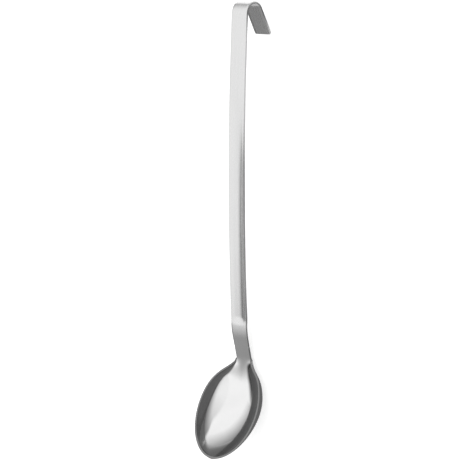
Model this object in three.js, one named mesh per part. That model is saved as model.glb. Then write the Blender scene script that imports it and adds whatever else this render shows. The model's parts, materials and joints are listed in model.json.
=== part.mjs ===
import * as THREE from 'three';

// Driving dimensions, in millimetres and degrees.

// Handle: one strip of sheet, pressed to a gutter and bent back to a hook.
const STRIP_WIDTH = 16;
const STRIP_THICKNESS = 2;
const EDGE_BREAK = 0.35;
const NECK_LENGTH = 14.6;
const NECK_SLOPE = 15.2;
const NECK_BEND_RADIUS = 61;
const ARCH_START_SLOPE = 3.7;
const ARCH_LENGTH = 221;
const ARCH_RADIUS = 1984;
const GUTTER_EDGE_ANGLE = 24;
const GUTTER_NECK_RUNOUT = 7;
const GUTTER_GRIP_RUNOUT = 110;
const GRIP_LENGTH = 44;
const HOOK_OUTER_RADIUS = 11.3;
const HOOK_ANGLE = 34.2;
const LEG_LENGTH = 26.5;
const LEG_CORNER_RADIUS = 2;

// Bowl: deep-drawn egg shape whose back wall grows out of the neck.
const BOWL_LENGTH = 82.5;
const BOWL_WIDTH = 60;
const BOWL_DEPTH = 20;
const BOWL_WALL = 1.5;
const BOWL_EGG = -0.03;
const BOWL_SETBACK = 9.5;
const SHOULDER_WALL_SLOPE = 78;
const TIP_WALL_SLOPE = 61;
const WALL_EASE_END = 90;
const FLOOR_DISH = 0.6;
const CORNER_ROUNDING = 8;
const RIM_SLOPE = 27.2;
const RIM_SAG = 1.3;
const NECK_WIDTH = 14.8;
const NECK_TAPER_LENGTH = 34;
const SHOULDER_DIP = 5.8;
const SHOULDER_LENGTH = 32;
const SHOULDER_ROUNDING = 3;
const SCOOP_START = 1;
const FLARE_START = 3.8;
const FLARE_END = 17;

// Weld: the ground seam that joins the two.
const WELD_DISTANCE = 6;
const WELD_WIDTH = 2;

// Facet counts, and how the rows crowd towards the neck and end at the bowl's tip.
const STRIP_COLUMNS = 12;
const BOWL_COLUMNS = 24;
const NECK_STEPS = 2;
const NECK_BEND_STEPS = 4;
const GUTTER_STEPS = 26;
const HOOK_STEPS = 18;
const BOWL_BACK_STEPS = 24;
const BOWL_FRONT_STEPS = 14;
const CORNER_STEPS = 5;
const ROW_CROWDING = 1.25;
const TIP_ROW_ANGLE = 60;

const rad = THREE.MathUtils.degToRad;
const mix = THREE.MathUtils.lerp;
const smooth = THREE.MathUtils.smoothstep;

function softMax(a, b, width) {
  const share = Math.max(width - Math.abs(a - b), 0) / width;
  return Math.max(a, b) + share * share * width / 4;
}

function spread(from, to, steps) {
  return Array.from({ length: steps + 1 }, (_, i) => mix(from, to, i / steps));
}

// Side view of the strip: the line of its front edges from the shoulder, over the hook, to the leg's
// end. Each stretch turns evenly, and positive angles lean towards the face.
const neckTurn = rad(ARCH_START_SLOPE - NECK_SLOPE);
const hookTurn = -rad(180 - HOOK_ANGLE);
const stretches = [
  { length: NECK_LENGTH, turn: 0 },
  { length: Math.abs(neckTurn) * NECK_BEND_RADIUS, turn: neckTurn },
  { length: ARCH_LENGTH, turn: -ARCH_LENGTH / ARCH_RADIUS },
  { length: GRIP_LENGTH, turn: 0 },
  { length: Math.abs(hookTurn) * HOOK_OUTER_RADIUS, turn: hookTurn },
  { length: LEG_LENGTH, turn: 0 },
];

const marks = [0];
for (const stretch of stretches) {
  marks.push(marks.at(-1) + stretch.length);
}
const [, neckEnd, archStart, archEnd, gripEnd, hookEnd, stripEnd] = marks;

function advance(pose, length, turn) {
  const chord = Math.abs(turn) < 1e-9 ? length : length * Math.sin(turn / 2) / (turn / 2);
  return {
    y: pose.y + chord * Math.cos(pose.slope + turn / 2),
    z: pose.z + chord * Math.sin(pose.slope + turn / 2),
    slope: pose.slope + turn,
  };
}

function stripPose(run) {
  let pose = { y: 0, z: 0, slope: rad(NECK_SLOPE) };
  let left = run;
  for (const stretch of stretches) {
    const part = Math.min(left, stretch.length);
    pose = advance(pose, part, stretch.turn * part / stretch.length);
    left -= part;
    if (left <= 0) {
      break;
    }
  }
  return pose;
}

function stripWidth(run) {
  const width = mix(NECK_WIDTH, STRIP_WIDTH, smooth(run, 0, NECK_TAPER_LENGTH));
  const toEnd = stripEnd - run;
  if (toEnd >= LEG_CORNER_RADIUS) {
    return width;
  }
  const across = LEG_CORNER_RADIUS - Math.max(toEnd, 0);
  return width - 2 * (LEG_CORNER_RADIUS - Math.sqrt(LEG_CORNER_RADIUS ** 2 - across ** 2));
}

function gutterAngle(run) {
  const rise = smooth(run, archStart, archStart + GUTTER_NECK_RUNOUT);
  const fall = 1 - smooth(run, archEnd - GUTTER_GRIP_RUNOUT, archEnd);
  return rad(GUTTER_EDGE_ANGLE) * Math.min(rise, fall);
}

// One cross-section of the strip. The strip's width is measured along the gutter's arc, so pressing the
// gutter draws the edges in.
function stripRow(run, columns) {
  const pose = stripPose(run);
  const half = stripWidth(run) / 2;
  const angle = Math.max(gutterAngle(run), 1e-5);
  const front = [];
  const back = [];
  for (const share of spread(-1, 1, columns)) {
    const lean = angle * share;
    const x = half * Math.sin(lean) / angle;
    const dip = half * (Math.cos(lean) - Math.cos(angle)) / angle;
    const place = (across, depth) => new THREE.Vector3(
      across,
      pose.y + depth * Math.sin(pose.slope),
      pose.z - depth * Math.cos(pose.slope),
    );
    front.push(place(x, dip));
    back.push(place(x + STRIP_THICKNESS * Math.sin(lean), dip + STRIP_THICKNESS * Math.cos(lean)));
  }
  return { front, back };
}

// The bowl is drawn over its rim plane: s runs from the shoulder towards the tip, and height is positive
// towards the face.
const bowlMiddle = BOWL_SETBACK + BOWL_LENGTH / 2;
const bowlTip = BOWL_SETBACK + BOWL_LENGTH;
const bowlDeepest = 2 * BOWL_DEPTH / Math.tan(rad(NECK_SLOPE + RIM_SLOPE)) - SCOOP_START;

function rimPoint(x, s, height) {
  const slope = rad(RIM_SLOPE);
  return new THREE.Vector3(
    x,
    height * Math.sin(slope) - s * Math.cos(slope),
    height * Math.cos(slope) + s * Math.sin(slope),
  );
}

function eggHalfWidth(s) {
  const along = THREE.MathUtils.clamp((s - bowlMiddle) / (BOWL_LENGTH / 2), -1, 1);
  return BOWL_WIDTH / 2 * Math.sqrt(1 - along ** 2) * (1 + BOWL_EGG * along);
}

// Half the width of the outline: the neck, a flare with matching slopes at both ends, then the egg.
function outlineHalfWidth(s) {
  const neck = NECK_WIDTH / 2;
  if (s <= FLARE_START) {
    return stripWidth(Math.max(-s, 0) / Math.cos(rad(NECK_SLOPE + RIM_SLOPE))) / 2;
  }
  if (s >= FLARE_END) {
    return eggHalfWidth(s);
  }
  const length = FLARE_END - FLARE_START;
  const t = (s - FLARE_START) / length;
  const step = 0.01;
  const end = eggHalfWidth(FLARE_END);
  const endSlope = (eggHalfWidth(FLARE_END + step) - end) / step;
  return neck + (end - neck) * t * t * (3 - 2 * t) + endSlope * length * t * t * (t - 1);
}

function neckHeight(s) {
  return -s * Math.tan(rad(NECK_SLOPE + RIM_SLOPE));
}

// Height of the rim: level with a slight sag, dipping at the shoulder to meet the neck's edges.
function rimHeight(s) {
  const toShoulder = Math.max(1 - s / SHOULDER_LENGTH, 0);
  const along = THREE.MathUtils.clamp(s / bowlTip, 0, 1);
  const level = -SHOULDER_DIP * toShoulder ** 1.5 - RIM_SAG * 4 * along * (1 - along);
  return softMax(neckHeight(s), level, SHOULDER_ROUNDING);
}

// Closeness to the middle along the length: 1 as far as the deepest point, then down to 0 at the tip.
function dishInward(s) {
  const along = THREE.MathUtils.clamp((s - bowlDeepest) / (bowlTip - bowlDeepest), 0, 1);
  return 1 - along ** 2;
}

// Middle line of the back of the bowl: the neck's slope runs out in a parabola at the deepest point.
function backHeight(s) {
  if (s <= SCOOP_START) {
    return neckHeight(s);
  }
  const left = (bowlDeepest - s) / (bowlDeepest - SCOOP_START);
  return mix(-BOWL_DEPTH, neckHeight(SCOOP_START), left ** 2);
}

// Distance of a point from the rim's outline, exact close to it.
function rimDistance(x, s) {
  const step = 0.01;
  const half = Math.max(outlineHalfWidth(s), 1e-6);
  const slope = (outlineHalfWidth(s + step) - outlineHalfWidth(s - step)) / (2 * step);
  return Math.max(half ** 2 - x ** 2, 0) / (2 * half * Math.hypot(1, slope));
}

// Height of the face over the rim plane: straight walls, which ease off past the shoulder, go down from the
// rim and meet the shallow dish of the floor in a rounded corner.
function sheetHeight(x, s) {
  const across = Math.min(Math.abs(x) / Math.max(outlineHalfWidth(s), 1e-6), 1);
  const rim = rimHeight(s);
  const middle = s > bowlDeepest ? -BOWL_DEPTH : backHeight(s);
  const floor = (rim - middle) * dishInward(s) * (1 - FLOOR_DISH * across ** 2);
  const slope = mix(SHOULDER_WALL_SLOPE, TIP_WALL_SLOPE, smooth(s, FLARE_END, WALL_EASE_END));
  const wall = Math.tan(rad(slope)) * rimDistance(x, s);
  const rounding = CORNER_ROUNDING * floor / (CORNER_ROUNDING + floor);
  return rim + softMax(-wall, -floor, Math.max(rounding, 1e-6));
}

// Distance from the shoulder to the front outline at a given distance off the middle.
function outlineReach(x) {
  let low = bowlMiddle;
  let high = bowlTip;
  for (let i = 0; i < 40; i += 1) {
    const s = (low + high) / 2;
    if (eggHalfWidth(s) > Math.abs(x)) {
      low = s;
    } else {
      high = s;
    }
  }
  return high;
}

// Unit normal of the sheet towards the face, in x, s and height, taken just inside the edge.
function sheetNormal(x, s) {
  const inside = 0.998;
  const step = 0.02;
  const inX = x * inside;
  const inS = s > bowlMiddle ? bowlMiddle + (s - bowlMiddle) * inside : s;
  const slopeX = (sheetHeight(inX + step, inS) - sheetHeight(inX - step, inS)) / (2 * step);
  const slopeS = (sheetHeight(inX, inS + step) - sheetHeight(inX, inS - step)) / (2 * step);
  return new THREE.Vector3(-slopeX, -slopeS, 1).normalize();
}

// One row of the bowl's sheet. Rows are straight across at the back and bow out to the outline at the tip.
function bowlRow(s, bow) {
  const front = [];
  const back = [];
  const half = outlineHalfWidth(s);
  const thickness = mix(STRIP_THICKNESS, BOWL_WALL, smooth(s, 0, SHOULDER_LENGTH));
  const spreadOut = smooth(s, 0, SHOULDER_LENGTH);
  const last = BOWL_COLUMNS;
  for (let j = 0; j <= last; j += 1) {
    const share = 1 - 2 * j / last;
    const x = half * mix(share, Math.sin(share * Math.PI / 2), spreadOut);
    const at = mix(s, outlineReach(x), bow);
    const normal = sheetNormal(x, at);
    const onEdge = j === 0 || j === last || bow === 1;
    if (onEdge) {
      const flat = new THREE.Vector3(normal.x, normal.y, 0).normalize();
      const level = normal.clone().lerp(flat, spreadOut).normalize();
      level.multiplyScalar(1 / level.dot(normal));
      normal.copy(level);
    }
    const height = sheetHeight(x, at);
    front.push(rimPoint(x, at, height));
    back.push(rimPoint(x - thickness * normal.x, at - thickness * normal.y, height - thickness * normal.z));
  }
  return { front, back };
}

// Closed solid from rows of matching front and back points. Flat ends are closed as they are, and free
// edges are broken.
function sheetSolid(rows, flatEnd) {
  const points = [];
  const faces = [];
  const n = rows.length - 1;
  const m = rows[0].front.length - 1;
  const add = (point) => points.push(point) - 1;
  const quad = (a, b, c, d) => faces.push([a, b, c], [a, c, d]);
  const pulled = (grid, i, j) => {
    const inJ = THREE.MathUtils.clamp(j, 1, m - 1);
    const inI = flatEnd ? i : Math.min(i, n - 1);
    const point = grid(i, j).clone();
    const inward = grid(inI, inJ).clone().sub(point);
    return inward.length() > 0 ? point.addScaledVector(inward.normalize(), EDGE_BREAK) : point;
  };
  const frontAt = (i, j) => rows[i].front[j];
  const backAt = (i, j) => rows[i].back[j];
  const addRow = (grid, i) => Array.from({ length: m + 1 }, (_, j) => add(pulled(grid, i, j)));
  const front = rows.map((_, i) => addRow(frontAt, i));
  const back = rows.map((_, i) => addRow(backAt, i));

  for (let i = 0; i < n; i += 1) {
    for (let j = 0; j < m; j += 1) {
      quad(front[i][j], front[i][j + 1], front[i + 1][j + 1], front[i + 1][j]);
      quad(back[i][j], back[i + 1][j], back[i + 1][j + 1], back[i][j + 1]);
    }
  }

  const left = rows.map((_, i) => [i, 0]);
  const right = rows.map((_, i) => [n - i, m]);
  const end = Array.from({ length: m - 1 }, (_, j) => [n, j + 1]);
  const edges = flatEnd ? [left, right] : [[...left, ...end, ...right]];
  const rings = new Map();
  for (const edge of edges) {
    for (const [i, j] of edge) {
      const step = backAt(i, j).clone().sub(frontAt(i, j));
      const share = EDGE_BREAK / step.length();
      const upper = add(frontAt(i, j).clone().addScaledVector(step, share));
      const lower = add(backAt(i, j).clone().addScaledVector(step, -share));
      rings.set(`${i},${j}`, [front[i][j], upper, lower, back[i][j]]);
    }
    for (let k = 0; k + 1 < edge.length; k += 1) {
      const here = rings.get(edge[k].join());
      const next = rings.get(edge[k + 1].join());
      for (let ring = 0; ring < 3; ring += 1) {
        quad(here[ring], next[ring], next[ring + 1], here[ring + 1]);
      }
    }
  }

  function closeEnd(i, turned) {
    const flip = (a, b, c, d) => (turned ? quad(d, c, b, a) : quad(a, b, c, d));
    for (let j = 0; j < m; j += 1) {
      flip(front[i][j], back[i][j], back[i][j + 1], front[i][j + 1]);
    }
    const [leftFront, leftUpper, leftLower, leftBack] = rings.get(`${i},0`);
    const [rightFront, rightUpper, rightLower, rightBack] = rings.get(`${i},${m}`);
    flip(leftFront, leftUpper, leftLower, leftBack);
    flip(rightBack, rightLower, rightUpper, rightFront);
  }

  closeEnd(0, false);
  if (flatEnd) {
    closeEnd(n, true);
  }
  return { points, faces };
}

const weldStart = WELD_DISTANCE;
const weldEnd = WELD_DISTANCE + WELD_WIDTH;

function handleSheet() {
  const runs = [
    ...spread(weldEnd, neckEnd, NECK_STEPS),
    ...spread(neckEnd, archStart, NECK_BEND_STEPS),
    ...spread(0, 1, GUTTER_STEPS).map((share) => mix(archStart, archEnd, share ** ROW_CROWDING)),
    gripEnd,
    ...spread(gripEnd, hookEnd, HOOK_STEPS),
    stripEnd - LEG_CORNER_RADIUS,
    ...spread(0, 90, CORNER_STEPS).map((turn) => (
      stripEnd - LEG_CORNER_RADIUS * (1 - Math.sin(rad(turn)))
    )),
  ];
  const stations = runs.filter((run, i) => i === 0 || run - runs[i - 1] > 1e-6);
  return sheetSolid(stations.map((run) => stripRow(run, STRIP_COLUMNS)), false);
}

function weldSheet() {
  const rows = [weldStart, weldEnd].map((run) => stripRow(run, STRIP_COLUMNS));
  return sheetSolid(rows, true);
}

function bowlSheet() {
  const seam = stripRow(weldStart, BOWL_COLUMNS);
  const rows = [{ front: seam.front.reverse(), back: seam.back.reverse() }];
  const start = -weldStart * Math.cos(rad(NECK_SLOPE + RIM_SLOPE));
  for (const share of spread(0, 1, BOWL_BACK_STEPS).slice(1)) {
    rows.push(bowlRow(mix(start, bowlMiddle, share ** ROW_CROWDING), 0));
  }
  for (const share of spread(0, 1, BOWL_FRONT_STEPS).slice(1)) {
    const s = bowlMiddle + BOWL_LENGTH / 2 * Math.sin(rad(TIP_ROW_ANGLE * share));
    rows.push(bowlRow(s, share ** 2));
  }
  return sheetSolid(rows, false);
}

// The spoon lies face up, on the bottom of its bowl and the end of its hook.
function lowest(points, tilt) {
  const height = (point) => point.y * Math.sin(tilt) + point.z * Math.cos(tilt);
  return points.reduce((best, point) => (height(point) < height(best) ? point : best));
}

function restTilt(bowl, handle) {
  const hook = handle.points.filter((point) => point.y > stripPose(archEnd).y / 2);
  let tilt = 0;
  for (let i = 0; i < 12; i += 1) {
    const bowlFoot = lowest(bowl.points, tilt);
    const hookFoot = lowest(hook, tilt);
    tilt = Math.atan2(bowlFoot.z - hookFoot.z, hookFoot.y - bowlFoot.y);
  }
  return tilt;
}

function layDown(sheets) {
  const tilt = restTilt(sheets.bowl, sheets.handle);
  const turn = new THREE.Matrix4().makeRotationX(tilt);
  const box = new THREE.Box3();
  for (const sheet of Object.values(sheets)) {
    for (const point of sheet.points) {
      point.applyMatrix4(turn);
      box.expandByPoint(point);
    }
  }
  const foot = new THREE.Vector3(0, (box.min.y + box.max.y) / 2, box.min.z);
  for (const sheet of Object.values(sheets)) {
    for (const point of sheet.points) {
      point.sub(foot);
    }
  }
}

function makeMesh(name, sheet, color, roughness) {
  const geometry = new THREE.BufferGeometry();
  geometry.setFromPoints(sheet.points);
  geometry.setIndex(sheet.faces.flat());
  geometry.computeVertexNormals();
  const material = new THREE.MeshStandardMaterial({ color, roughness, metalness: 1 });
  const mesh = new THREE.Mesh(geometry, material);
  mesh.name = name;
  return mesh;
}

const sheets = { bowl: bowlSheet(), neck_weld: weldSheet(), handle: handleSheet() };
layDown(sheets);

const spoon = new THREE.Group();
spoon.name = 'serving_spoon';
spoon.add(makeMesh('bowl', sheets.bowl, 0xd6d8da, 0.08));
spoon.add(makeMesh('neck_weld', sheets.neck_weld, 0xc4c6c8, 0.25));
spoon.add(makeMesh('handle', sheets.handle, 0xcacccf, 0.3));

export default spoon;
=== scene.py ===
"""Serving spoon in stainless steel: its three formed pieces, their finishes and a plain white studio."""

import json
import math
from itertools import accumulate

import bmesh
import bpy
from bpy.props import FloatProperty, FloatVectorProperty, PointerProperty
from mathutils import Matrix, Vector

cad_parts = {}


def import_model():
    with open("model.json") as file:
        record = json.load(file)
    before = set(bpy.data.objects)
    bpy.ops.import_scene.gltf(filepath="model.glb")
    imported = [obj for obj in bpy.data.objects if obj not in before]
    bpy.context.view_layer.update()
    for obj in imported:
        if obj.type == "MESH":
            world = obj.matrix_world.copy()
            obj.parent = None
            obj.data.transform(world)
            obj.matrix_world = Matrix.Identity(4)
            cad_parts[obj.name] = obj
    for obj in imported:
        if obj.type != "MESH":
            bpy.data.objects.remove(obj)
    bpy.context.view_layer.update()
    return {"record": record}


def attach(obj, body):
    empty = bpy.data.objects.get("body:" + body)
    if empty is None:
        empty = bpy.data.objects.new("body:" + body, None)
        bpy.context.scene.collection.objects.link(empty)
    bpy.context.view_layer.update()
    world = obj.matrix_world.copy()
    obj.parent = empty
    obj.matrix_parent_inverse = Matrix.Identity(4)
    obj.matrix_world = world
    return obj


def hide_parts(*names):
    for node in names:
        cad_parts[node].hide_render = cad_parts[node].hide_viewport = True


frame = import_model()

bl_info = {
    "name": "Serving spoon",
    "version": (1, 0, 0),
    "blender": (4, 5, 0),
    "location": "3D View > Sidebar > Spoon",
    "description": "Forms a hook-handled serving spoon and sets it in a studio",
    "category": "Object",
}

BODY = "root"

# Steps and limits of the formulas for the forms
TINY = 1e-9
LEAST_GUTTER_ANGLE = 1e-5
SLOPE_STEP = 1e-5
NORMAL_STEP = 2e-5
JUST_INSIDE = 0.998
AT_EDGE = 1 - 1e-6
HALVINGS = 32
DIP_POWER = 1.5

# Rows, columns and rounded edges of the meshes
SHARP_ANGLE = math.radians(38)
EDGE_SEGMENTS = 3
CORNER_SEGMENTS = 6
STRIP_COLUMNS = 18
STRIP_ROWS = 340
OUTER_COLUMN = 0.0026
WELD_ROWS = 2
BOWL_COLUMNS = 48
BOWL_BACK_ROWS = 96
BOWL_FRONT_ROWS = 56
ROW_CROWDING = 1.25
TIP_ROW_ANGLE = math.radians(60)

# Patterns of the finishes
# Mask of the ground rim, which carries its painted shade
SHADED_GROUND_RIM = "shaded_ground_rim"
NOISE_MIDDLE = 0.5
BROAD_GRAIN = 0.22
STREAK_RANGE = (0.2, 0.8)
HAIRLINE_TURNS = (math.radians(25), math.radians(-60))
HAIRLINE_EDGE = (0.0, 0.006)
HAIRLINE_BUMP = 0.4
MARK_EDGE = (0.35, 0.7)

# Length of a mirrored ray from which on the handle counts as mirrored in the bowl and gets its painted
# shade
BOWL_REACH = (0.03, 0.06)

# Sizes and levels of the studio
FLOOR_HALF = 6
FLOOR_ROUGHNESS = 0.9
WORLD_FILL = 0.5
TENT_RADIUS = 1.6
TENT_SEGMENTS = 64
TENT_RINGS = 32
FLAG_HALF = 1.6
FLAG_HEIGHT = 0.0005
SENSOR_WIDTH = 36

# Zones of the tent by the direction from its middle, with x to the spoon's right, y to its hook and z up.
# A pair holds the two ends of a soft edge, and a light is a share of the roof's.
RIGHT_SIDE = (0.1, 0.5)
RIGHT_SIDE_RISE = (0.0, 0.95)
RIGHT_TOP_LIGHT = 0.95
LEFT_SIDE = (-0.96, -0.8)
LEFT_SLANT = 0.4
LEFT_SLANT_STOP = -0.4
LEFT_FOOT = (-0.95, -0.86)
LEFT_FOOT_END = (-0.05, 0.2)
LEFT_FOOT_LIGHT = 0.7
BOWL_END = (-0.86, -0.43)
BOWL_END_SLANT = 0.5
BOWL_END_SLANT_STOP = -0.35
BOWL_END_LIGHT = 0.3
IN_LINE = (0.1, 0.35)
IN_LINE_LIGHT = 0.7
HOOK_END = (0.05, 0.3)
HOOK_END_RISE = (-0.55, 0.27)
HOOK_END_SLANT = 0.5
HOOK_END_LIGHT = 0.1

# Zones of the flag in metres. Reaches and the fade are lengths of the mirrored rays that show it.
HANDLE_PATCH_START = (-0.1, -0.05)
HANDLE_PATCH_END = (0.165, 0.185)
HANDLE_PATCH_REACH = (0.08, 0.12)
HOOK_PATCH_START = (0.19, 0.2)
HOOK_PATCH_MIDDLE = -0.05
HOOK_PATCH_HALF = (0.07, 0.12)
HOOK_PATCH_REACH = (0.2, 0.28)
FLAG_FADE = (0.1, 0.7)
FLAG_FADE_SIDE = (0.0, 0.2)


def length_property(name, description, metres):
    return FloatProperty(name=name, description=description, default=metres, unit="LENGTH", precision=5)


def angle_property(name, description, degrees):
    return FloatProperty(
        name=name, description=description, default=math.radians(degrees), unit="ROTATION", subtype="ANGLE"
    )


def factor_property(name, description, default):
    return FloatProperty(name=name, description=description, default=default, subtype="FACTOR")


def light_property(name, description, default):
    return FloatProperty(name=name, description=description, default=default)


def grey_property(name, description, level):
    return FloatVectorProperty(
        name=name, description=description, default=(level,) * 3, size=3, min=0, max=1, subtype="COLOR"
    )


class HandleSizes(bpy.types.PropertyGroup):
    strip_width: length_property("Strip width", "Width of the flat strip", 0.016)
    strip_thickness: length_property("Strip thickness", "Thickness of the strip", 0.002)
    edge_round: length_property("Edge rounding", "Radius of the deburred edges", 0.0004)
    neck_length: length_property("Neck length", "Straight neck above the shoulder", 0.0146)
    neck_slope: angle_property("Neck slope", "Rise of the neck towards the handle", 15.2)
    neck_bend_radius: length_property("Neck bend radius", "Radius of the bend above the neck", 0.061)
    neck_width: length_property("Neck width", "Width of the neck at the shoulder", 0.0148)
    neck_taper_length: length_property("Neck taper", "Length in which the neck widens", 0.034)
    arch_start_slope: angle_property("Arch start slope", "Slope of the handle where its arch begins", 3.7)
    arch_length: length_property("Arch length", "Length of the gently arched stretch", 0.221)
    arch_radius: length_property("Arch radius", "Radius of the gentle arch", 1.984)
    gutter_edge_angle: angle_property("Gutter edge angle", "Lean of the strip's edges in the gutter", 24)
    gutter_neck_runout: length_property("Gutter neck run-out", "Length in which the gutter rises", 0.007)
    gutter_grip_runout: length_property("Gutter grip run-out", "Length in which the gutter fades", 0.11)
    grip_length: length_property("Grip length", "Flat stretch before the hook", 0.044)
    hook_outer_radius: length_property("Hook radius", "Outer radius of the hook's bend", 0.0113)
    hook_angle: angle_property("Hook angle", "Angle between the grip and the hook's leg", 34.2)
    leg_length: length_property("Leg length", "Straight leg of the hook", 0.0265)
    leg_corner_radius: length_property("Leg corner radius", "Rounding of the leg's corners", 0.002)
    weld_distance: length_property("Weld distance", "From the shoulder to the weld", 0.006)
    weld_width: length_property("Weld width", "Width of the ground weld", 0.002)


class BowlSizes(bpy.types.PropertyGroup):
    length: length_property("Length", "Length of the egg outline", 0.0825)
    width: length_property("Width", "Width of the egg outline", 0.06)
    depth: length_property("Depth", "Depth below the rim plane", 0.02)
    wall: length_property("Wall", "Wall thickness", 0.0015)
    egg: factor_property("Egg", "Widening towards the tip", -0.03)
    setback: length_property("Setback", "From the shoulder to the outline's back end", 0.0095)
    shoulder_wall_slope: angle_property("Shoulder wall slope", "Slope of the walls beside the flare", 78)
    tip_wall_slope: angle_property("Tip wall slope", "Slope of the walls at the tip", 61)
    wall_ease_end: length_property("Wall ease end", "Where the walls have eased off", 0.09)
    floor_dish: factor_property("Floor dish", "Rise of the floor towards the walls", 0.6)
    corner_rounding: length_property("Corner rounding", "Softness between wall and floor", 0.008)
    rim_slope: angle_property("Rim slope", "Slope of the rim plane", 27.2)
    rim_sag: length_property("Rim sag", "Sag of the rim between neck and tip", 0.0013)
    shoulder_dip: length_property("Shoulder dip", "Dip of the rim beside the neck", 0.0058)
    shoulder_length: length_property("Shoulder length", "Length of the dip", 0.032)
    shoulder_rounding: length_property("Shoulder rounding", "Softness of the dip's start", 0.003)
    scoop_start: length_property("Scoop start", "Where the neck's slope begins to ease", 0.001)
    flare_start: length_property("Flare start", "Where the neck begins to widen", 0.0038)
    flare_end: length_property("Flare end", "Where the flare meets the egg outline", 0.017)


class SteelFinish(bpy.types.PropertyGroup):
    polish_colour: grey_property("Polished steel", "Colour of the polished bowl", 0.82)
    polish_roughness: factor_property("Polish roughness", "Blur of the polished bowl", 0.07)
    polish_mark_size: length_property("Bowl mark size", "Size of handling marks on the bowl", 0.018)
    polish_mark_tint: factor_property("Bowl mark tint", "Darkening by handling marks on the bowl", 0.04)
    bowl_haze: factor_property("Bowl haze", "Added blur of handling marks on the bowl", 0.02)
    weld_haze: factor_property("Weld haze", "Added blur of handling marks on the weld", 0.05)
    hairline_blur: factor_property("Hairline blur", "Added blur of the hairlines", 0.08)
    hairline_depth: length_property("Hairline depth", "Depth of the hairlines", 0.000002)
    # Painted shade: the ground rim's dark colour, darker than ground steel is
    edge_colour: grey_property("Ground edge", "Colour of the ground rim", 0.22)
    # Painted shade: the steel's colour in the bowl's reflections, darker than the steel itself
    mirrored_colour: grey_property("Mirrored steel", "Colour of steel mirrored in the bowl", 0.22)
    mirrored_roughness: factor_property("Mirrored roughness", "Blur of the bowl mirrored in itself", 0.7)
    satin_colour: grey_property("Satin steel", "Colour of the brushed handle", 0.75)
    satin_roughness: factor_property("Satin roughness", "Blur of the brushed handle", 0.26)
    satin_mark_size: length_property("Handle mark size", "Size of handling marks on the handle", 0.03)
    satin_haze: factor_property("Handle haze", "Added blur of handling marks on the handle", 0.03)
    streak_blur: factor_property("Streak blur", "Change of blur from streak to streak", 0.06)
    streak_tint: factor_property("Streak tint", "Darkening from streak to streak", 0.06)
    grain_spacing: length_property("Grain spacing", "Distance between brush lines", 0.00022)
    grain_length: length_property("Grain length", "Length of one brush line", 0.02)
    grain_depth: length_property("Grain depth", "Depth of the brush lines", 0.000002)
    polish_fade: length_property("Polish fade", "Length in which the satin gives way to polish", 0.022)


class StudioSettings(bpy.types.PropertyGroup):
    floor_colour: grey_property("Floor", "Colour of the pale floor", 0.9)
    floor_fill: light_property("Floor fill", "Added white of the floor", 0.62)
    camera_yaw: angle_property("Camera yaw", "Turn of the view to the spoon's right", 38)
    camera_pitch: angle_property("Camera pitch", "Lean of the view towards the hook", 8.93)
    camera_roll: angle_property("Camera roll", "Roll of the picture", 0.046)
    camera_distance: length_property("Camera distance", "From the camera to its aim", 1.7041)
    camera_lens: FloatProperty(name="Lens", description="Focal length in mm", default=156.57)
    aim_along: length_property("Aim along", "Aim point along the strip from the shoulder", 0.1078)
    aim_height: length_property("Aim height", "Aim point above the shoulder", -0.0003)
    aim_side: length_property("Aim side", "Sideways shift of the view", -0.01115)
    roof: light_property("Roof", "Brightness of the tent's roof", 1.08)
    skirt: factor_property("Skirt", "Light at the foot of the tent's right side, to its roof's", 0.22)
    curtain: factor_property("Curtain", "Light of the tent's left side, to its roof's", 0.05)
    flag: light_property("Flag", "Brightness of the dark flag below the spoon", 0.14)
    far_flag: light_property("Far flag", "Brightness of the flag seen from afar", 0.42)
    handle_patch: light_property("Handle patch", "Brightness of the flag below the handle", 0.75)
    hook_patch: light_property("Hook patch", "Added brightness of the flag behind the hook", 1.2)


def mix(a, b, share):
    return a + (b - a) * share


def clamp(value, low=0.0, high=1.0):
    return min(max(value, low), high)


def smooth(value, low, high):
    share = clamp((value - low) / (high - low))
    return share * share * (3 - 2 * share)


def soft_max(a, b, width):
    share = max(width - abs(a - b), 0) / width
    return max(a, b) + share * share * width / 4


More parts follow.
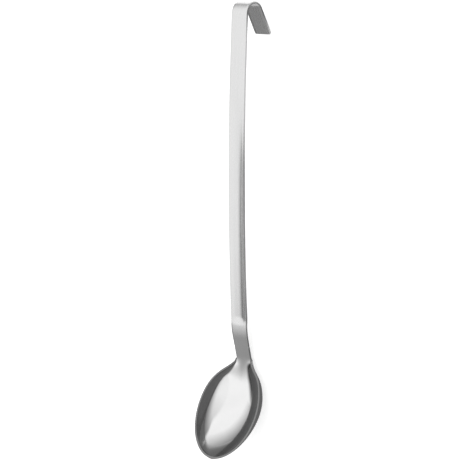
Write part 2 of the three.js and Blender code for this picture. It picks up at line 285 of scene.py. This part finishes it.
class StripForm:
    """The strip's side view and sections, by the run from the shoulder over the hook to the leg's end."""

    def __init__(self, sizes):
        self.sizes = sizes
        neck_turn = sizes.arch_start_slope - sizes.neck_slope
        hook_turn = sizes.hook_angle - math.pi
        self.stretches = [
            (sizes.neck_length, 0.0),
            (abs(neck_turn) * sizes.neck_bend_radius, neck_turn),
            (sizes.arch_length, -sizes.arch_length / sizes.arch_radius),
            (sizes.grip_length, 0.0),
            (abs(hook_turn) * sizes.hook_outer_radius, hook_turn),
            (sizes.leg_length, 0.0),
        ]
        marks = list(accumulate(length for length, _ in self.stretches))
        self.arch_start, self.arch_end, self.grip_end = marks[1:4]
        self.end = marks[-1]

    def pose(self, run):
        """Place and slope of the strip's front edges."""
        y, z, slope = 0.0, 0.0, self.sizes.neck_slope
        for length, turn in self.stretches:
            part = min(run, length)
            half_turn = turn * part / length / 2
            chord = part * math.sin(half_turn) / half_turn if abs(half_turn) > TINY else part
            y += chord * math.cos(slope + half_turn)
            z += chord * math.sin(slope + half_turn)
            slope += 2 * half_turn
            run -= part
            if run <= 0:
                break
        return y, z, slope

    def width(self, run):
        widened = smooth(run, 0, self.sizes.neck_taper_length)
        return mix(self.sizes.neck_width, self.sizes.strip_width, widened)

    def gutter_angle(self, run):
        rise = smooth(run, self.arch_start, self.arch_start + self.sizes.gutter_neck_runout)
        fall = 1 - smooth(run, self.arch_end - self.sizes.gutter_grip_runout, self.arch_end)
        return max(self.sizes.gutter_edge_angle * min(rise, fall), LEAST_GUTTER_ANGLE)

    def point(self, run, share, depth):
        """A point of the strip: share runs from -1 to 1 across it, depth is measured in from its face."""
        y, z, slope = self.pose(run)
        angle = self.gutter_angle(run)
        radius = self.width(run) / 2 / angle
        lean = angle * share
        dip = radius * (math.cos(lean) - math.cos(angle)) + depth * math.cos(lean)
        return Vector((
            (radius + depth) * math.sin(lean),
            y + dip * math.sin(slope),
            z - dip * math.cos(slope),
        ))

    def column_share(self, across):
        """Share across the strip of an even grid column: the outer ones are wide enough for the corners."""
        outer = OUTER_COLUMN / (self.sizes.strip_width / 2)
        inner_columns = STRIP_COLUMNS / 2 - 1
        column = across * STRIP_COLUMNS / 2
        if abs(column) <= inner_columns:
            return column / inner_columns * (1 - outer)
        return math.copysign(1 - outer * (inner_columns + 1 - abs(column)), column)

    def rest(self):
        """Turns the strip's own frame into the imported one, by the place and lean of the flat grip."""
        grip = next(mount for mount in frame["record"]["mounts"] if mount["name"] == "grip_face")
        y, z, slope = self.pose((self.arch_end + self.grip_end) / 2)
        lean = math.atan2(-grip["axis"][1], grip["axis"][2])
        turn = Matrix.Rotation(lean - slope, 4, "X")
        return Matrix.Translation(grip["pos_m"]) @ turn @ Matrix.Translation((0, -y, -z))


class BowlForm:
    """The bowl over its rim plane: s runs from the shoulder to the tip, height is towards the face."""

    def __init__(self, sizes, strip):
        self.sizes = sizes
        self.strip = strip
        self.half_length = sizes.length / 2
        self.middle = sizes.setback + self.half_length
        self.tip = sizes.setback + sizes.length
        self.neck_angle = strip.sizes.neck_slope + sizes.rim_slope
        self.deepest = 2 * sizes.depth / math.tan(self.neck_angle) - sizes.scoop_start
        self.start = -strip.sizes.weld_distance * math.cos(self.neck_angle)

    def place(self, x, s, height):
        """A point over the rim plane, in the strip's frame."""
        sine = math.sin(self.sizes.rim_slope)
        cosine = math.cos(self.sizes.rim_slope)
        return Vector((x, height * sine - s * cosine, height * cosine + s * sine))

    def egg(self, s):
        along = clamp((s - self.middle) / self.half_length, -1, 1)
        return self.sizes.width / 2 * math.sqrt(1 - along * along) * (1 + self.sizes.egg * along)

    def half_width(self, s):
        """Half the outline: the neck, a flare with matching slopes at both ends, then the egg."""
        start, end = self.sizes.flare_start, self.sizes.flare_end
        if s <= start:
            return self.strip.width(max(-s, 0) / math.cos(self.neck_angle)) / 2
        if s >= end:
            return self.egg(s)
        neck = self.strip.sizes.neck_width / 2
        meeting = self.egg(end)
        slope = (self.egg(end + SLOPE_STEP) - meeting) / SLOPE_STEP
        t = (s - start) / (end - start)
        return neck + (meeting - neck) * t * t * (3 - 2 * t) + slope * (end - start) * t * t * (t - 1)

    def neck_height(self, s):
        return -s * math.tan(self.neck_angle)

    def rim_height(self, s):
        """Height of the rim: level with a slight sag, dipping at the shoulder to the neck's edges."""
        sizes = self.sizes
        to_shoulder = max(1 - s / sizes.shoulder_length, 0)
        along = clamp(s / self.tip)
        level = -sizes.shoulder_dip * to_shoulder ** DIP_POWER - sizes.rim_sag * 4 * along * (1 - along)
        return soft_max(self.neck_height(s), level, sizes.shoulder_rounding)

    def floor_height(self, s):
        """Middle line of the floor: the neck's slope runs out in a parabola at the deepest point."""
        start = self.sizes.scoop_start
        if s <= start:
            return self.neck_height(s)
        left = max(self.deepest - s, 0) / (self.deepest - start)
        return mix(-self.sizes.depth, self.neck_height(start), left * left)

    def rim_distance(self, x, s):
        """Distance of a point from the rim's outline, exact close to it."""
        half = max(self.half_width(s), TINY)
        slope = (self.half_width(s + SLOPE_STEP) - self.half_width(s - SLOPE_STEP)) / (2 * SLOPE_STEP)
        return max(half * half - x * x, 0) / (2 * half * math.hypot(1, slope))

    def height(self, x, s):
        """Height of the face: straight walls below the rim meet a shallow dish in a rounded corner."""
        sizes = self.sizes
        across = min(abs(x) / max(self.half_width(s), TINY), 1)
        along = clamp((s - self.deepest) / (self.tip - self.deepest))
        rim = self.rim_height(s)
        middle_depth = (rim - self.floor_height(s)) * (1 - along * along)
        floor = middle_depth * (1 - sizes.floor_dish * across * across)
        ease = smooth(s, sizes.flare_end, sizes.wall_ease_end)
        slope = mix(sizes.shoulder_wall_slope, sizes.tip_wall_slope, ease)
        wall = math.tan(slope) * self.rim_distance(x, s)
        rounding = sizes.corner_rounding * floor / (sizes.corner_rounding + floor)
        return rim + soft_max(-wall, -floor, max(rounding, TINY))

    def reach(self, x):
        """Distance from the shoulder to the front outline, at x off the middle."""
        low, high = self.middle, self.tip
        for _ in range(HALVINGS):
            s = (low + high) / 2
            if self.egg(s) > abs(x):
                low = s
            else:
                high = s
        return high

    def normal(self, x, s):
        """Unit normal towards the face, in x, s and height, taken just inside the edge."""
        x *= JUST_INSIDE
        if s > self.middle:
            s = mix(self.middle, s, JUST_INSIDE)
        slope_x = (self.height(x + NORMAL_STEP, s) - self.height(x - NORMAL_STEP, s)) / (2 * NORMAL_STEP)
        slope_s = (self.height(x, s + NORMAL_STEP) - self.height(x, s - NORMAL_STEP)) / (2 * NORMAL_STEP)
        return Vector((-slope_x, -slope_s, 1)).normalized()

    def point(self, s, bow, share, side):
        """A point of the sheet on its face (side 0) or back (side 1). The back of the rim stays level."""
        out = smooth(s, 0, self.sizes.shoulder_length)
        x = self.half_width(s) * mix(share, math.sin(share * math.pi / 2), out)
        at = mix(s, self.reach(x), bow)
        height = self.height(x, at)
        if side == 0:
            return self.place(x, at, height)
        normal = self.normal(x, at)
        if max(abs(share), bow) > AT_EDGE:
            level = normal.lerp(Vector((normal.x, normal.y, 0)).normalized(), out).normalized()
            normal = level / level.dot(normal)
        inward = normal * mix(self.strip.sizes.strip_thickness, self.sizes.wall, out)
        return self.place(x - inward.x, at - inward.y, height - inward.z)


def sheet_side(bm, columns, rows, place):
    """One side of a sheet: a grid whose corners are put in place by their shares across and along."""
    grid = bmesh.ops.create_grid(bm, x_segments=columns, y_segments=rows, size=1)
    for vert in grid["verts"]:
        vert.co = place(vert.co.x, (vert.co.y + 1) / 2)


def round_edges(bm, edges, radius, segments):
    bmesh.ops.bevel(
        bm, geom=edges, offset=radius, offset_type="OFFSET", segments=segments, profile=0.5,
        affect="EDGES", clamp_overlap=True, material=-1,
    )


def formed_sheet(columns, rows, place, cut_ends, edge_round, corner_round=0.0, shaded_rim_row=None):
    """A closed sheet from its face and its back, with rounded free edges and square cut ends.

    cut_ends says whether the first and the last row are cut. The free edge is marked as the ground rim
    from the given row on, and that mark carries the rim's painted shade.
    """
    bm = bmesh.new()
    ground = bm.verts.layers.float.new(SHADED_GROUND_RIM)
    sheet_side(bm, columns, rows, lambda across, along: place(across, along, 0))
    sheet_side(bm, columns, rows, lambda across, along: place(across, along, 1))
    verts = list(bm.verts)
    row_length = columns + 1
    side_length = row_length * (rows + 1)
    row_of = {vert: i % side_length // row_length for i, vert in enumerate(verts)}
    cut_rows = [row for row, is_cut in zip((0, rows), cut_ends) if is_cut]
    cut = {vert for vert, row in row_of.items() if row in cut_rows}
    if shaded_rim_row is not None:
        for vert, row in row_of.items():
            vert[ground] = float(vert.is_boundary and row >= shaded_rim_row)
    bmesh.ops.bridge_loops(bm, edges=[edge for edge in bm.edges if edge.is_boundary])
    if corner_round:
        last_row = rows * row_length
        corners = [(verts[last_row + j], verts[side_length + last_row + j]) for j in (0, columns)]
        round_edges(bm, [bm.edges.get(pair) for pair in corners], corner_round, CORNER_SEGMENTS)
    bmesh.ops.recalc_face_normals(bm, faces=bm.faces)
    bm.normal_update()
    free = [
        edge for edge in bm.edges
        if edge.calc_face_angle(0) > SHARP_ANGLE and not cut.issuperset(edge.verts)
    ]
    round_edges(bm, free, edge_round, EDGE_SEGMENTS)
    return bm


def strip_sheet(strip, start, end, rows, cut_ends, corner_round=0.0):
    """The stretch of the strip between two runs."""
    sizes = strip.sizes

    def place(across, along, side):
        run = mix(start, end, along)
        return strip.point(run, strip.column_share(across), side * sizes.strip_thickness)

    return formed_sheet(STRIP_COLUMNS, rows, place, cut_ends, sizes.edge_round, corner_round)


def bowl_sheet(bowl):
    """The bowl: straight rows as far as its middle, then rows that bow out to the tip."""
    rows = BOWL_BACK_ROWS + BOWL_FRONT_ROWS
    back_share = BOWL_BACK_ROWS / rows

    def place(across, along, side):
        if along <= back_share:
            s = mix(bowl.start, bowl.middle, (along / back_share) ** ROW_CROWDING)
            return bowl.point(s, 0, across, side)
        ahead = (along - back_share) / (1 - back_share)
        s = bowl.middle + bowl.half_length * math.sin(TIP_ROW_ANGLE * ahead)
        return bowl.point(s, ahead * ahead, across, side)

    # First row of the ground rim, from which its painted shade starts
    flare_share = (bowl.sizes.flare_start - bowl.start) / (bowl.middle - bowl.start)
    shaded_rim_row = math.ceil(BOWL_BACK_ROWS * flare_share ** (1 / ROW_CROWDING))
    edge_round = bowl.strip.sizes.edge_round
    return formed_sheet(BOWL_COLUMNS, rows, place, (True, False), edge_round, shaded_rim_row=shaded_rim_row)


def add_object(name, bm, material):
    """Puts a finished mesh in the scene."""
    mesh = bpy.data.meshes.new(name)
    bm.to_mesh(mesh)
    bm.free()
    mesh.materials.append(material)
    thing = bpy.data.objects.new(name, mesh)
    bpy.context.scene.collection.objects.link(thing)
    return thing


def add_piece(name, bm, matrix, node, material):
    """A piece of the spoon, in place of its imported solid."""
    bm.transform(matrix)
    for face in bm.faces:
        face.smooth = True
    piece = add_object(name, bm, material)
    piece.data.set_sharp_from_angle(angle=SHARP_ANGLE)
    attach(piece, BODY)
    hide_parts(node)


def add_stage(name, bm, material, to_camera):
    """A piece of the studio. What isn't shown to the camera throws no shadow either."""
    thing = add_object(name, bm, material)
    thing.visible_camera = to_camera
    thing.visible_shadow = to_camera
    return thing


def add_node(tree, kind, inputs=None, **settings):
    """A node with its settings, its input values and the sockets linked to its inputs."""
    node = tree.nodes.new(kind)
    for name, value in settings.items():
        setattr(node, name, value)
    for key, value in (inputs or {}).items():
        if isinstance(value, bpy.types.NodeSocket):
            tree.links.new(value, node.inputs[key])
        else:
            node.inputs[key].default_value = value
    return node


def add_math(tree, operation, *values):
    return add_node(tree, "ShaderNodeMath", dict(enumerate(values)), operation=operation).outputs[0]


def add_range(tree, value, from_range, to_range, interpolation="SMOOTHSTEP"):
    inputs = dict(zip(("From Min", "From Max", "To Min", "To Max"), (*from_range, *to_range)))
    inputs["Value"] = value
    node = add_node(tree, "ShaderNodeMapRange", inputs, interpolation_type=interpolation)
    return node.outputs["Result"]


def before(tree, value, edge):
    """1 before a soft edge, 0 past it."""
    return add_range(tree, value, edge, (1.0, 0.0))


def past(tree, value, edge):
    """0 before a soft edge, 1 past it."""
    return add_range(tree, value, edge, (0.0, 1.0))


def mix_values(tree, share, first, second):
    return add_range(tree, share, (0, 1), (first, second), "LINEAR")


def mix_colours(tree, share, first, second):
    """Two colours mixed by a share, each a socket or plain red, green and blue."""
    inputs = {"Factor": share}
    for key, colour in (("A", first), ("B", second)):
        inputs[key] = colour if isinstance(colour, bpy.types.NodeSocket) else (*colour, 1)
    return add_node(tree, "ShaderNodeMix", inputs, data_type="RGBA").outputs["Result"]


def darkened(tree, colour, darkness, mask):
    """A colour that darkens slightly by a mask."""
    return mix_colours(tree, mask, colour, [channel * (1 - darkness) for channel in colour])


def product(tree, first, *others):
    for other in others:
        first = add_math(tree, "MULTIPLY", first, other)
    return first


def object_place(tree):
    return add_node(tree, "ShaderNodeTexCoord").outputs["Object"]


def stretched_noise(tree, place, sizes, scale, detail):
    """Noise whose spots have their own size along x, y and z."""
    spot = add_node(tree, "ShaderNodeCombineXYZ", dict(zip("XYZ", sizes))).outputs[0]
    spots = add_node(tree, "ShaderNodeVectorMath", {0: place, 1: spot}, operation="DIVIDE").outputs[0]
    inputs = {"Vector": spots, "Scale": scale, "Detail": detail}
    return add_node(tree, "ShaderNodeTexNoise", inputs).outputs["Fac"]


def new_group(name, inputs, outputs):
    """An empty shader group with float inputs, given with their defaults, and float outputs."""
    group = bpy.data.node_groups.new(name, "ShaderNodeTree")
    for label, default in inputs.items():
        socket = group.interface.new_socket(label, in_out="INPUT", socket_type="NodeSocketFloat")
        socket.default_value = default
    for label in outputs:
        group.interface.new_socket(label, in_out="OUTPUT", socket_type="NodeSocketFloat")
    return group, add_node(group, "NodeGroupInput").outputs


def brushed_grain(name):
    """Fine lines along the strip, as heights and as streaks in the gloss."""
    group, given = new_group(name, {"Spacing": 0.0002, "Length": 0.02}, ("Height", "Streaks"))
    place = object_place(group)
    sizes = (given["Spacing"], given["Length"], given["Length"])
    fine = stretched_noise(group, place, sizes, scale=1.0, detail=2.0)
    broad = stretched_noise(group, place, sizes, scale=BROAD_GRAIN, detail=1.0)
    streaks = mix_values(group, 0.5, fine, broad)
    add_node(group, "NodeGroupOutput", {"Height": fine, "Streaks": streaks})
    return group


def hairlines(name):
    """Sparse fine scratches that run in two crossing directions."""
    group, given = new_group(name, {"Spacing": 0.004, "Length": 0.03}, ("Mask",))
    place = object_place(group)
    sizes = (given["Spacing"], given["Length"], given["Spacing"])
    masks = []
    for turn in HAIRLINE_TURNS:
        turned = add_node(group, "ShaderNodeMapping", {"Vector": place, "Rotation": (0, 0, turn)})
        noise = stretched_noise(group, turned.outputs[0], sizes, scale=1.0, detail=3.0)
        ridge = add_math(group, "ABSOLUTE", add_math(group, "SUBTRACT", noise, NOISE_MIDDLE))
        masks.append(before(group, ridge, HAIRLINE_EDGE))
    add_node(group, "NodeGroupOutput", {"Mask": add_math(group, "MAXIMUM", *masks)})
    return group


def handling_marks(name):
    """Soft cloudy patches where the steel has been wiped and handled."""
    group, given = new_group(name, {"Size": 0.02}, ("Mask",))
    noise = stretched_noise(group, object_place(group), (given["Size"],) * 3, scale=1.0, detail=4.0)
    add_node(group, "NodeGroupOutput", {"Mask": past(group, noise, MARK_EDGE)})
    return group


def place_effect(tree, build, **values):
    """Places a shared effect in a material with values of its own. It is built when it is first placed."""
    name = build.__name__
    group = bpy.data.node_groups.get(name) or build(name)
    return add_node(tree, "ShaderNodeGroup", values, node_tree=group).outputs


def new_material(name):
    material = bpy.data.materials.new(name)
    material.use_nodes = True
    material.node_tree.nodes.clear()
    return material, material.node_tree


def finish_steel(tree, colour, roughness, normal):
    """The steel's own shader, with its colour, roughness and normal."""
    inputs = {"Base Color": colour, "Metallic": 1.0, "Roughness": roughness, "Normal": normal}
    shader = add_node(tree, "ShaderNodeBsdfPrincipled", inputs)
    add_node(tree, "ShaderNodeOutputMaterial", {"Surface": shader.outputs[0]})


def finish_cloth(tree, brightness):
    """Cloth that glows by itself."""
    shader = add_node(tree, "ShaderNodeEmission", {"Strength": brightness})
    add_node(tree, "ShaderNodeOutputMaterial", {"Surface": shader.outputs[0]})


def satin_steel(finish, fade_start):
    """Handle finish: brushed along the length, fading to polish by the neck.

    Its colour is painted darker where the bowl mirrors it, a painted shade in that reflection.
    """
    material, tree = new_material("satin_steel")
    grain = place_effect(tree, brushed_grain, Spacing=finish.grain_spacing, Length=finish.grain_length)
    marks = place_effect(tree, handling_marks, Size=finish.satin_mark_size)
    along = add_node(tree, "ShaderNodeSeparateXYZ", {0: object_place(tree)}).outputs["Y"]
    satin = past(tree, along, (fade_start, fade_start + finish.polish_fade))
    blur_range = (-finish.streak_blur, finish.streak_blur)
    streaked = add_range(tree, grain["Streaks"], STREAK_RANGE, blur_range, "LINEAR")
    wiped = add_math(tree, "MULTIPLY_ADD", marks["Mask"], finish.satin_haze, streaked)
    rough = add_math(tree, "ADD", wiped, finish.satin_roughness)
    roughness = mix_values(tree, satin, finish.polish_roughness, rough)
    height = product(tree, grain["Height"], satin)
    bump = add_node(tree, "ShaderNodeBump", {
        "Height": height, "Strength": 1.0, "Distance": finish.grain_depth,
    })
    brushed = darkened(tree, finish.satin_colour, finish.streak_tint, grain["Streaks"])
    colour = mix_colours(tree, satin, finish.polish_colour, brushed)
    path = add_node(tree, "ShaderNodeLightPath").outputs
    # Painted shade: the handle shows darker where the bowl mirrors it
    mirrored = product(tree, path["Is Glossy Ray"], past(tree, path["Ray Length"], BOWL_REACH))
    shown = mix_colours(tree, mirrored, colour, finish.mirrored_colour)
    finish_steel(tree, shown, roughness, bump.outputs[0])
    return material


def polished_steel(name, finish, haze):
    """Finish of bowl and weld: mirror polished, with hairlines, handling marks and a ground rim in painted
    shade.

    Where the bowl mirrors it, it is rougher and its colour is painted darker, a painted shade in that
    reflection.
    """
    material, tree = new_material(name)
    scratches = place_effect(tree, hairlines)["Mask"]
    marks = place_effect(tree, handling_marks, Size=finish.polish_mark_size)["Mask"]
    hazy = add_math(tree, "MULTIPLY_ADD", marks, haze, finish.polish_roughness)
    scratched = add_math(tree, "MULTIPLY_ADD", scratches, finish.hairline_blur, hazy)
    mirrored = add_node(tree, "ShaderNodeLightPath").outputs["Is Glossy Ray"]
    roughness = mix_values(tree, mirrored, scratched, finish.mirrored_roughness)
    bump = add_node(tree, "ShaderNodeBump", {
        "Height": scratches, "Strength": HAIRLINE_BUMP, "Distance": -finish.hairline_depth,
    })
    edge = add_node(tree, "ShaderNodeAttribute", attribute_name=SHADED_GROUND_RIM).outputs["Fac"]
    polished = darkened(tree, finish.polish_colour, finish.polish_mark_tint, marks)
    # Painted shade: the ground rim is coloured dark
    shown = mix_colours(tree, edge, polished, finish.edge_colour)
    # Painted shade: bowl and weld show darker where the bowl mirrors them
    colour = mix_colours(tree, mirrored, shown, finish.mirrored_colour)
    finish_steel(tree, colour, roughness, bump.outputs[0])
    return material


def seen_rays(tree):
    """1 for rays from the camera and for those that metal and glass send on, else 0."""
    path = add_node(tree, "ShaderNodeLightPath").outputs
    mirrored = add_math(tree, "MAXIMUM", path["Is Glossy Ray"], path["Is Transmission Ray"])
    return add_math(tree, "MAXIMUM", path["Is Camera Ray"], mirrored)


def pale_floor(studio):
    """Floor that looks white and keeps the spoon's shadow."""
    material, tree = new_material("pale_floor")
    fill = product(tree, seen_rays(tree), studio.floor_fill)
    shader = add_node(tree, "ShaderNodeBsdfPrincipled", {
        "Base Color": (*studio.floor_colour, 1), "Roughness": FLOOR_ROUGHNESS, "Specular IOR Level": 0.0,
        "Emission Color": (1, 1, 1, 1), "Emission Strength": fill,
    })
    add_node(tree, "ShaderNodeOutputMaterial", {"Surface": shader.outputs[0]})
    return material


def tent_cloth(studio):
    """Bright cloth with darker sides and ends for the steel to mirror.

    The right side falls off towards the floor. The left side is dark, with a glow at its foot beside the
    bowl. The bowl's end is grey, but lighter in line with the handle, and the hook's end falls off low on
    its left.
    """
    material, tree = new_material("tent_cloth")
    normalize = add_node(tree, "ShaderNodeVectorMath", {0: object_place(tree)}, operation="NORMALIZE")
    x, y, z = add_node(tree, "ShaderNodeSeparateXYZ", {0: normalize.outputs[0]}).outputs

    falling = add_range(tree, z, RIGHT_SIDE_RISE, (studio.skirt, RIGHT_TOP_LIGHT), "LINEAR")
    right = add_math(tree, "MAXIMUM", falling, before(tree, x, RIGHT_SIDE))

    stopped = add_math(tree, "MAXIMUM", y, LEFT_SLANT_STOP)
    slanted = add_math(tree, "MULTIPLY_ADD", stopped, LEFT_SLANT, x)
    curtain = add_range(tree, slanted, LEFT_SIDE, (studio.curtain, 1.0))
    glow = product(tree, before(tree, x, LEFT_FOOT), before(tree, y, LEFT_FOOT_END), LEFT_FOOT_LIGHT)
    left = add_math(tree, "MAXIMUM", curtain, glow)

    stopped = add_math(tree, "MAXIMUM", x, BOWL_END_SLANT_STOP)
    slanted = add_math(tree, "MULTIPLY_ADD", stopped, BOWL_END_SLANT, y)
    grey = add_range(tree, slanted, BOWL_END, (BOWL_END_LIGHT, 1.0))
    in_line = product(tree, before(tree, add_math(tree, "ABSOLUTE", x), IN_LINE), IN_LINE_LIGHT)
    bowl_end = add_math(tree, "MAXIMUM", grey, in_line)

    slanted = add_math(tree, "MULTIPLY_ADD", x, HOOK_END_SLANT, z)
    low_left = add_range(tree, slanted, HOOK_END_RISE, (HOOK_END_LIGHT, 1.0), "LINEAR")
    hook_end = add_math(tree, "MAXIMUM", low_left, before(tree, y, HOOK_END))

    finish_cloth(tree, product(tree, right, left, bowl_end, hook_end, studio.roof))
    return material


def flag_cloth(studio):
    """Dark cloth on the floor that only the steel mirrors, paler below the handle and behind the hook.

    The pale patches show only in steel close to them, and the dark cloth looks lighter from afar.
    """
    material, tree = new_material("flag_cloth")
    x, y, _ = add_node(tree, "ShaderNodeSeparateXYZ", {0: object_place(tree)}).outputs
    distance = add_node(tree, "ShaderNodeLightPath").outputs["Ray Length"]

    far = product(tree, past(tree, distance, FLAG_FADE), before(tree, x, FLAG_FADE_SIDE))
    dark = mix_values(tree, far, studio.flag, studio.far_flag)

    along_handle = product(tree, past(tree, y, HANDLE_PATCH_START), before(tree, y, HANDLE_PATCH_END))
    below_handle = product(tree, along_handle, before(tree, distance, HANDLE_PATCH_REACH))
    patched = mix_values(tree, below_handle, dark, studio.handle_patch)

    off_middle = add_math(tree, "ABSOLUTE", add_math(tree, "SUBTRACT", x, HOOK_PATCH_MIDDLE))
    behind = product(tree, past(tree, y, HOOK_PATCH_START), before(tree, off_middle, HOOK_PATCH_HALF))
    behind_hook = product(tree, behind, before(tree, distance, HOOK_PATCH_REACH))

    finish_cloth(tree, add_math(tree, "MULTIPLY_ADD", behind_hook, studio.hook_patch, patched))
    return material


def white_world():
    """World that is white where it is seen, and a plain fill light."""
    world = bpy.data.worlds.new("white_world")
    world.use_nodes = True
    tree = world.node_tree
    tree.nodes.clear()
    strength = mix_values(tree, seen_rays(tree), WORLD_FILL, 1.0)
    shader = add_node(tree, "ShaderNodeBackground", {"Color": (1, 1, 1, 1), "Strength": strength})
    add_node(tree, "ShaderNodeOutputWorld", {"Surface": shader.outputs[0]})
    return world


def square_sheet(half, height=0.0):
    bm = bmesh.new()
    bmesh.ops.create_grid(bm, x_segments=1, y_segments=1, size=half)
    bmesh.ops.translate(bm, verts=bm.verts, vec=(0, 0, height))
    return bm


def tent_dome():
    bm = bmesh.new()
    bmesh.ops.create_uvsphere(bm, u_segments=TENT_SEGMENTS, v_segments=TENT_RINGS, radius=TENT_RADIUS)
    geometry = [*bm.verts, *bm.edges, *bm.faces]
    bmesh.ops.bisect_plane(bm, geom=geometry, plane_co=(0, 0, 0), plane_no=(0, 0, 1), clear_inner=True)
    return bm


def studio_camera(studio, strip):
    """The photograph's view: to the spoon's right and a little towards the hook, hook end up."""
    yaw, pitch = studio.camera_yaw, studio.camera_pitch
    back = Vector((math.sin(yaw) * math.cos(pitch), math.sin(pitch), math.cos(yaw) * math.cos(pitch)))
    level = Vector((math.cos(yaw), 0, -math.sin(yaw)))
    right = Matrix.Rotation(studio.camera_roll, 3, back) @ level
    up = back.cross(right)
    aim = Vector((0, studio.aim_along, studio.aim_height)) + right * studio.aim_side
    axes = Matrix((right, up, back)).transposed().to_4x4()
    camera = bpy.data.objects.new("camera", bpy.data.cameras.new("camera"))
    camera.data.lens = studio.camera_lens
    camera.data.sensor_width = SENSOR_WIDTH
    camera.matrix_world = strip.rest() @ Matrix.Translation(aim + back * studio.camera_distance) @ axes
    bpy.context.scene.collection.objects.link(camera)
    bpy.context.scene.camera = camera


class SPOON_OT_make_handle(bpy.types.Operator):
    """Form the handle from one strip: neck bend, pressed gutter, flat grip, hook and leg"""

    bl_idname = "spoon.make_handle"
    bl_label = "Make handle"

    def execute(self, context):
        sizes = context.scene.spoon_handle
        strip = StripForm(sizes)
        rest = strip.rest()
        start = sizes.weld_distance + sizes.weld_width
        bm = strip_sheet(strip, start, strip.end, STRIP_ROWS, (True, False), sizes.leg_corner_radius)
        fade_start = (rest @ strip.point(start, 0, 0)).y
        material = satin_steel(context.scene.spoon_finish, fade_start)
        add_piece("handle_strip", bm, rest, "handle", material)
        return {"FINISHED"}


class SPOON_OT_make_neck_weld(bpy.types.Operator):
    """Fill the gap between handle and bowl with the ground weld"""

    bl_idname = "spoon.make_neck_weld"
    bl_label = "Make neck weld"

    def execute(self, context):
        sizes = context.scene.spoon_handle
        finish = context.scene.spoon_finish
        strip = StripForm(sizes)
        start = sizes.weld_distance
        bm = strip_sheet(strip, start, start + sizes.weld_width, WELD_ROWS, (True, True))
        material = polished_steel("ground_seam", finish, finish.weld_haze)
        add_piece("weld_seam", bm, strip.rest(), "neck_weld", material)
        return {"FINISHED"}


class SPOON_OT_make_bowl(bpy.types.Operator):
    """Draw the bowl from one sheet, with its neck stub, shoulders and ground rim, the rim's dark colour
    painted shade
    """

    bl_idname = "spoon.make_bowl"
    bl_label = "Make bowl"

    def execute(self, context):
        finish = context.scene.spoon_finish
        strip = StripForm(context.scene.spoon_handle)
        bm = bowl_sheet(BowlForm(context.scene.spoon_bowl, strip))
        material = polished_steel("polished_steel", finish, finish.bowl_haze)
        add_piece("bowl_shell", bm, strip.rest(), "bowl", material)
        return {"FINISHED"}


class SPOON_OT_set_stage(bpy.types.Operator):
    """Set up the white world, the pale floor, the light tent, the dark flag and the camera"""

    bl_idname = "spoon.set_stage"
    bl_label = "Set stage"

    def execute(self, context):
        scene = context.scene
        studio = scene.spoon_studio
        scene.view_settings.view_transform = "Standard"
        scene.world = white_world()
        add_stage("floor", square_sheet(FLOOR_HALF), pale_floor(studio), True)
        add_stage("light_tent", tent_dome(), tent_cloth(studio), False)
        flag = add_stage("mirror_flag", square_sheet(FLAG_HALF, FLAG_HEIGHT), flag_cloth(studio), False)
        flag.visible_diffuse = False
        studio_camera(studio, StripForm(scene.spoon_handle))
        return {"FINISHED"}


PANEL_BOXES = (
    ("Handle", "spoon_handle", ("spoon.make_handle", "spoon.make_neck_weld")),
    ("Bowl", "spoon_bowl", ("spoon.make_bowl",)),
    ("Finish", "spoon_finish", ()),
    ("Studio", "spoon_studio", ("spoon.set_stage",)),
)


class SPOON_PT_sidebar(bpy.types.Panel):
    """Sizes, finishes and studio settings, with the operators that use them"""

    bl_idname = "SPOON_PT_sidebar"
    bl_label = "Serving spoon"
    bl_space_type = "VIEW_3D"
    bl_region_type = "UI"
    bl_category = "Spoon"

    def draw(self, context):
        for title, settings, operators in PANEL_BOXES:
            box = self.layout.box()
            box.label(text=title)
            group = getattr(context.scene, settings)
            for name in group.bl_rna.properties.keys():
                if name not in ("rna_type", "name"):
                    box.prop(group, name)
            for operator in operators:
                box.operator(operator)


SETTINGS = {
    "spoon_handle": HandleSizes,
    "spoon_bowl": BowlSizes,
    "spoon_finish": SteelFinish,
    "spoon_studio": StudioSettings,
}
CLASSES = (
    *SETTINGS.values(),
    SPOON_OT_make_handle,
    SPOON_OT_make_neck_weld,
    SPOON_OT_make_bowl,
    SPOON_OT_set_stage,
    SPOON_PT_sidebar,
)


def register():
    for cls in CLASSES:
        bpy.utils.register_class(cls)
    for name, settings in SETTINGS.items():
        setattr(bpy.types.Scene, name, PointerProperty(type=settings))


def unregister():
    for name in SETTINGS:
        delattr(bpy.types.Scene, name)
    for cls in reversed(CLASSES):
        bpy.utils.unregister_class(cls)


def main():
    register()
    bpy.ops.spoon.make_handle()
    bpy.ops.spoon.make_neck_weld()
    bpy.ops.spoon.make_bowl()
    bpy.ops.spoon.set_stage()


if __name__ == "__main__":
    main()
